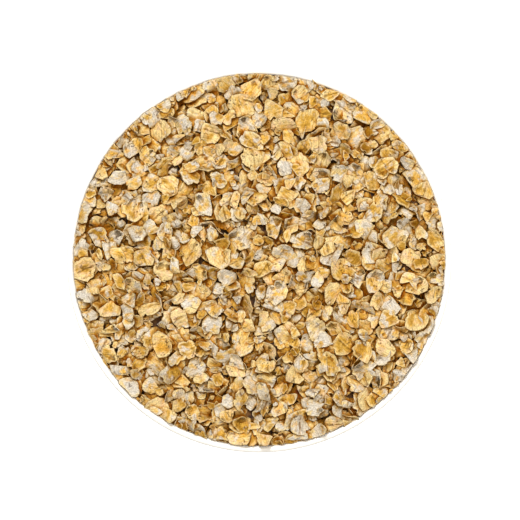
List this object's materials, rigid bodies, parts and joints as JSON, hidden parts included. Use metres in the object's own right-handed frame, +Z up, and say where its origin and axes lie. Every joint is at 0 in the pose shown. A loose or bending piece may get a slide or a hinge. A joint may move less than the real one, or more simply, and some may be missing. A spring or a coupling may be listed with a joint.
{
  "type": "bowl of rolled oats",
  "caption": "Round footed porcelain bowl, filled to its lip with a low heap of dry rolled oat flakes.",
  "frame": {"origin": "on the table, at the middle of the bowl's foot ring", "axes": "+Z up, along the bowl's axis; the bowl is round, so +X and +Y are any two level directions at right angles"},
  "size_m": [0.156, 0.156, 0.0658],
  "materials": {
    "porcelain": "gloss",
    "oats": "matte"
  },
  "bodies": {
    "root": {"bowl": "porcelain", "oats": "oats"}
  },
  "joints": []
}
